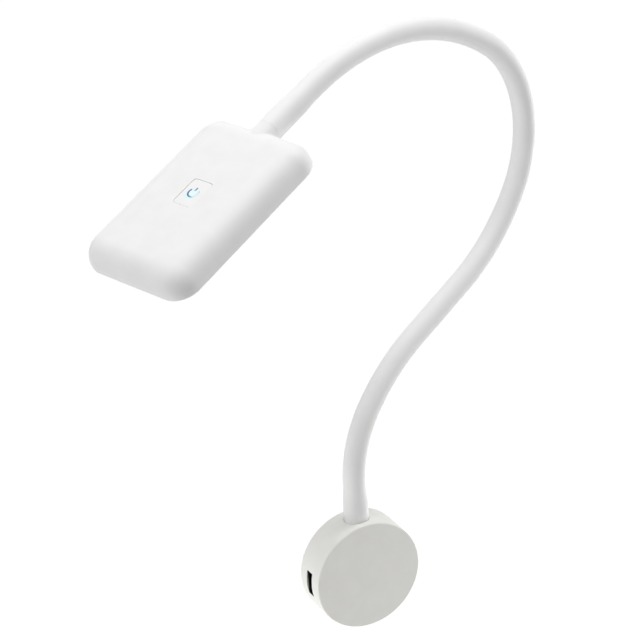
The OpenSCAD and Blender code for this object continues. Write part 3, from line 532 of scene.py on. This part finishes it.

# Sleeve of the arm
# One extruded tube of white silicone pulled over the spine and widened at both ends by the ferrules.
# It is soft and matt, with a faint bloom.
sleeve_r = 5.4
sleeve_foot_r = 6.0
sleeve_top_r = 5.76
sleeve_wall = 1.0
sleeve_step = 1.5
sleeve_sides = 48
sleeve_foot_taper = (7.8, 16.2)
sleeve_top_taper = (404.0, 415.0)
sleeve_cuts = [-2.95, *arm_middles, arm_length - 2.05]
silicone_dark = (0.862, 0.862, 0.858)
silicone_light = (0.892, 0.892, 0.888)
silicone_refraction = 1.41
silicone, silicone_tree, silicone_shader, silicone_place = start_finish("white_silicone")
silicone_bloom = add_noise(silicone_tree, silicone_place, size=14.0, detail=4.0)
silicone_rub = add_noise(silicone_tree, silicone_place, size=4.0, detail=3.0)
silicone_grain = add_noise(silicone_tree, silicone_place, size=0.35)
add_tones(silicone_tree, silicone_shader, silicone_bloom, silicone_dark, silicone_light)
add_gloss(silicone_tree, silicone_shader, silicone_rub, smooth=0.48, rough=0.6)
add_relief(silicone_tree, silicone_shader, silicone_grain, depth=0.012, strength=0.15)
silicone_shader.inputs["IOR"].default_value = silicone_refraction


def ease(value, low, high):
    """Gives 0 up to low, 1 from high on, and a soft rise between them."""
    share = min(1.0, max(0.0, (value - low) / (high - low)))
    return share * share * (3.0 - 2.0 * share)


def sleeve_radius(distance):
    foot = (sleeve_foot_r - sleeve_r) * (1.0 - ease(distance, *sleeve_foot_taper))
    top = (sleeve_top_r - sleeve_r) * ease(distance, *sleeve_top_taper)
    return sleeve_r + foot + top


for number in range(len(arm_joints)):
    sleeve = draw_tube(f"sleeve_{number + 1}", silicone, sleeve_cuts[number], sleeve_cuts[number + 1],
                       sleeve_radius, step=sleeve_step, sides=sleeve_sides, wall=sleeve_wall)
    bend_with_arm(sleeve, number)
    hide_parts("arm_sleeve")

# Head shell
# A flat white shell with a big soft upper edge, moulded in one piece with the short neck.
# It is of much the same matt plastic as the base, without the base's painted warm light, and it opens below
# for the light.
white_dark = (0.845, 0.844, 0.842)
white_light = (0.872, 0.871, 0.869)
head_turn = Matrix.Rotation(radians(-90.0), 4, "Y")
head_roll = Matrix.Rotation(radians(-3.0), 4, "X")
head_place = arm_place(arm_length) @ head_turn @ head_roll
white_plastic = moulded("white_plastic", white_dark, white_light,
                        smooth=0.50, rough=0.60, grain=0.22, depth=0.012, strength=0.16)
dress(white_plastic, "head_shell")

# Rounding of the neck
# Where the neck runs into the head's end the moulding is rounded out, so that the two flow together.
# It is part of the head's shell, wide at the upper left, narrow at the sides and least above and below.
neck_r = 5.75
neck_out = 1.8
neck_sides = 72
head_half_t = 6.25
head_round = 10.0
head_edge = 1.4
hollow_least = 0.2
hollow_side = 1.4
hollow_wide = 2.8
hollow_wide_at = radians(150.0)
hollow_along = 0.8
hollow_swing = 4.0
hollow_sunk = Vector((0.6, 0.0, 0.0))
hollow_steps = 8


def head_end(height):
    """Gives how far the head's end lies back at a height, round above and almost square below."""
    above = height - (head_half_t - head_round)
    if above > 0.0:
        return head_round - sqrt(max(0.0, head_round ** 2 - above ** 2))
    below = -head_half_t + head_edge - height
    if below > 0.0:
        return head_edge - sqrt(max(0.0, head_edge ** 2 - below ** 2))
    return 0.0


def hollow_point(angle, share):
    """Gives a point of the hollow, from the neck at share 0 to the head's end at share 1."""
    upper_left = max(0.0, cos(angle - hollow_wide_at)) ** 3
    reach = hollow_least + hollow_side * abs(cos(angle)) + hollow_wide * upper_left
    height = neck_r * sin(angle)
    corner = Vector((head_end(height), neck_r * cos(angle), height))
    along_neck = min(hollow_along * reach, corner.x + neck_out)
    across_end = reach * max(-1.0, min(1.0, hollow_swing * cos(angle)))
    on_neck = corner - Vector((along_neck, 0.0, 0.0))
    on_end = corner + Vector((0.0, across_end, 0.0))
    return on_neck * (1.0 - share) ** 2 + corner * 2.0 * share * (1.0 - share) + on_end * share ** 2


hollow = bmesh.new()
bmesh.ops.create_circle(hollow, segments=neck_sides, radius=1.0)
hollow_first = list(hollow.edges)
hollow_ring = hollow_first
ring_verts = list(hollow.verts)
ring_angles = [atan2(vert.co.y, vert.co.x) for vert in ring_verts]
for vert, angle in zip(ring_verts, ring_angles):
    vert.co = hollow_point(angle, 0.0)
for step in range(1, hollow_steps + 2):
    hollow_ring, made = pull_ring(hollow, hollow_ring)
    following = []
    for vert, angle in zip(ring_verts, ring_angles):
        ahead = next(edge.other_vert(vert) for edge in vert.link_edges if edge.other_vert(vert) in made)
        if step <= hollow_steps:
            ahead.co = hollow_point(angle, step / hollow_steps)
        else:
            ahead.co = hollow_point(angle, 0.5) + hollow_sunk
        following.append(ahead)
    ring_verts = following
bmesh.ops.bridge_loops(hollow, edges=hollow_first + hollow_ring)
bmesh.ops.recalc_face_normals(hollow, faces=hollow.faces)
bmesh.ops.scale(hollow, vec=(mm, mm, mm), verts=hollow.verts)
bmesh.ops.transform(hollow, matrix=head_place, verts=hollow.verts)
neck_hollow = finish_piece("neck_hollow", hollow, white_plastic)
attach(neck_hollow, "head")

# Light
# A white board with rows of light chips sits behind an opal plate, held by a frame in the shell's opening.
# The chips have yellow phosphor, and the plate is frosted acrylic.
opal_dark = (0.83, 0.84, 0.83)
opal_light = (0.87, 0.87, 0.86)
opal_milk = 0.35
opal_depth = 2.0
white_board = circuit_board("white_board", lacquer=(0.80, 0.80, 0.79), track=(0.70, 0.70, 0.66),
                            pitch=18.0)
dress(white_board, "led_board")
phosphor = moulded("phosphor", dark=(0.78, 0.60, 0.10), light=(0.86, 0.72, 0.22),
                   smooth=0.3, rough=0.45, grain=0.25, depth=0.02, strength=0.3)
dress(phosphor, "leds")
frame_plastic = moulded("frame_plastic", dark=(0.80, 0.80, 0.79), light=(0.85, 0.85, 0.84),
                        smooth=0.4, rough=0.5, grain=0.25, depth=0.01, strength=0.2)
dress(frame_plastic, "led_frame")
opal, opal_tree, opal_shader, opal_place = start_finish("opal_plate")
opal_cloud = add_noise(opal_tree, opal_place, size=12.0)
opal_rub = add_noise(opal_tree, opal_place, size=3.0)
opal_frost = add_noise(opal_tree, opal_place, size=0.18)
add_tones(opal_tree, opal_shader, opal_cloud, opal_dark, opal_light)
add_gloss(opal_tree, opal_shader, opal_rub, smooth=0.34, rough=0.46)
add_relief(opal_tree, opal_shader, opal_frost, depth=0.015, strength=0.3)
opal_shader.inputs["Subsurface Weight"].default_value = opal_milk
opal_shader.inputs["Subsurface Radius"].default_value = (1.0, 1.0, 1.0)
opal_shader.inputs["Subsurface Scale"].default_value = opal_depth * mm
dress(opal, "diffuser")

# Switch
# A small push switch and a blue chip sit on a board under the button, and a plunger joins the two.
# The chip shines through the thin middle of the button.
blue_chip = moulded("blue_chip", dark=(0.10, 0.22, 0.62), light=(0.16, 0.32, 0.78),
                    smooth=0.3, rough=0.42, grain=0.3, depth=0.01, strength=0.2)
dress(blue_chip, "symbol_led")
dress(header_nylon, "switch_plunger")

# Button
# A white cap set flush in the top of the head, with a hairline gap round it, its sides below the top
# painted dark as shade in the gap.
# It is lit from below, and the thin plastic round the sign takes up a pale blue glow.
button_at = Vector((45.25, 0.0, 6.15)) * mm
glow_aside = Vector((0.8, -0.6, 0.0)) * mm
glow_r = 4.4
glow_strength = 0.09
glow_tones = [(0.0, white_light), (0.2, white_light), (0.38, (0.76, 0.87, 0.88)),
              (0.6, (0.79, 0.87, 0.87)), (0.9, (0.82, 0.87, 0.87))]
glow_light = [(0.0, (0.0, 0.0, 0.0)), (0.2, (0.0, 0.0, 0.0)),
              (0.38, (0.0, 0.35, 0.7)), (0.7, (0.05, 0.7, 0.9))]
gap_shade_tone = (0.15, 0.15, 0.15, 1.0)
gap_shade_starts = -0.03
gap_shade_full = -0.08
sign_place = head_place @ Matrix.Translation(button_at)
glow_place = sign_place @ Matrix.Translation(glow_aside)


def measure_from(tree, coordinates, place, size):
    """Gives coordinates that start at a place on the button and count in steps of a size."""
    mapping = tree.nodes.new("ShaderNodeMapping")
    mapping.vector_type = "TEXTURE"
    mapping.inputs["Location"].default_value = place.translation
    mapping.inputs["Rotation"].default_value = place.to_euler("XYZ")
    mapping.inputs["Scale"].default_value = (size * mm, size * mm, size * mm)
    tree.links.new(coordinates, mapping.inputs["Vector"])
    return mapping.outputs["Vector"]


def spread_glow(tree, coordinates, place, radius):
    """Gives a pattern that is 1 at a place on the button and fades to 0 at a radius."""
    fading = tree.nodes.new("ShaderNodeTexGradient")
    fading.gradient_type = "SPHERICAL"
    tree.links.new(measure_from(tree, coordinates, place, radius), fading.inputs["Vector"])
    return fading.outputs["Fac"]


def add_bands(tree, pattern, bands):
    """Gives a pattern its colours from bands of a position and a tone, easing from one to the next."""
    ramp = tree.nodes.new("ShaderNodeValToRGB")
    ramp.color_ramp.interpolation = "EASE"
    while len(ramp.color_ramp.elements) < len(bands):
        ramp.color_ramp.elements.new(0.5)
    for element, (position, tone) in zip(ramp.color_ramp.elements, bands):
        element.position = position
        element.color = (*tone, 1.0)
    tree.links.new(pattern, ramp.inputs["Fac"])
    return ramp.outputs["Color"]


button_plastic, button_tree, button_shader, button_place = start_finish("button_plastic")
button_glow = spread_glow(button_tree, button_place, glow_place, glow_r)
button_tones = add_bands(button_tree, button_glow, glow_tones)
# Below the cap's top its colour is multiplied down to dark grey, as painted shade in the hairline gap.
button_axes = button_tree.nodes.new("ShaderNodeSeparateXYZ")
button_measure = measure_from(button_tree, button_place, sign_place, 1.0)
button_tree.links.new(button_measure, button_axes.inputs["Vector"])
button_gap_shade_depth = button_tree.nodes.new("ShaderNodeMapRange")
button_gap_shade_depth.inputs["From Min"].default_value = gap_shade_starts
button_gap_shade_depth.inputs["From Max"].default_value = gap_shade_full
button_tree.links.new(button_axes.outputs["Z"], button_gap_shade_depth.inputs["Value"])
button_gap_shade_mix = button_tree.nodes.new("ShaderNodeMix")
button_gap_shade_mix.data_type = "RGBA"
button_gap_shade_mix.blend_type = "MULTIPLY"
button_gap_shade_mix.inputs["B"].default_value = gap_shade_tone
button_tree.links.new(button_gap_shade_depth.outputs["Result"], button_gap_shade_mix.inputs["Factor"])
button_tree.links.new(button_tones, button_gap_shade_mix.inputs["A"])
button_tree.links.new(button_gap_shade_mix.outputs["Result"], button_shader.inputs["Base Color"])
button_light = add_bands(button_tree, button_glow, glow_light)
button_tree.links.new(button_light, button_shader.inputs["Emission Color"])
button_shader.inputs["Emission Strength"].default_value = glow_strength
button_rub = add_noise(button_tree, button_place, size=3.0, detail=3.0)
button_grain = add_noise(button_tree, button_place, size=0.22)
add_gloss(button_tree, button_shader, button_rub, smooth=0.50, rough=0.60)
add_relief(button_tree, button_shader, button_grain, depth=0.012, strength=0.16)
dress(button_plastic, "button_cap")

# Sign on the button
# An open ring with a bar in its opening, the plain sign for on and off, printed in blue on the cap.
# The chip below stands to one side, so its light washes out that side of the ring.
sign_r = 2.5
sign_line = 0.8
sign_open = 112.0
sign_steps = 40
sign_bar = (0.95, 2.95)
sign_deep = 0.04
sign_high = 0.02
sign_thick = sign_deep + sign_high
wash_aside = Vector((0.4, 1.3, 0.0)) * mm
wash_r = 4.4
wash_tones = [(0.0, (0.02, 0.09, 0.25)), (0.18, (0.02, 0.13, 0.34)),
              (0.47, (0.10, 0.33, 0.42)), (0.62, (0.66, 0.80, 0.80))]
wash_place = sign_place @ Matrix.Translation(wash_aside)
sign_centre = (0.0, 0.0, 0.0)
sign_upright = Matrix.Rotation(radians(90.0), 3, "X")
sign_start = Matrix.Rotation(radians(sign_open / 2.0), 3, "Z")
sign = bmesh.new()
bmesh.ops.create_grid(sign, x_segments=1, y_segments=1, size=0.5)
bmesh.ops.scale(sign, vec=(sign_line * mm, sign_thick * mm, 1.0), verts=sign.verts)
bmesh.ops.rotate(sign, cent=sign_centre, matrix=sign_upright, verts=sign.verts)
bmesh.ops.translate(sign, vec=Vector((-sign_r, 0.0, 0.0)) * mm, verts=sign.verts)
bmesh.ops.rotate(sign, cent=sign_centre, matrix=sign_start, verts=sign.verts)
bmesh.ops.spin(sign, geom=sign.verts[:] + sign.edges[:] + sign.faces[:], cent=sign_centre,
               axis=(0.0, 0.0, 1.0), angle=radians(360.0 - sign_open), steps=sign_steps)
bmesh.ops.recalc_face_normals(sign, faces=sign.faces)
bar = bmesh.ops.create_cube(sign, size=1.0)["verts"]
bmesh.ops.scale(sign, vec=Vector((sign_bar[1] - sign_bar[0], sign_line, sign_thick)) * mm, verts=bar)
bmesh.ops.translate(sign, vec=Vector((-sum(sign_bar) / 2.0, 0.0, 0.0)) * mm, verts=bar)
bmesh.ops.translate(sign, vec=Vector((0.0, 0.0, (sign_high - sign_deep) / 2.0)) * mm, verts=sign.verts)
bmesh.ops.transform(sign, matrix=sign_place, verts=sign.verts)
sign_blue, sign_tree, sign_shader, sign_coordinates = start_finish("sign_blue")
sign_wash = spread_glow(sign_tree, sign_coordinates, wash_place, wash_r)
sign_tree.links.new(add_bands(sign_tree, sign_wash, wash_tones), sign_shader.inputs["Base Color"])
sign_rub = add_noise(sign_tree, sign_coordinates, size=1.0)
add_gloss(sign_tree, sign_shader, sign_rub, smooth=0.35, rough=0.45)
sign_piece = finish_piece("power_sign", sign, sign_blue)
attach(sign_piece, "button")
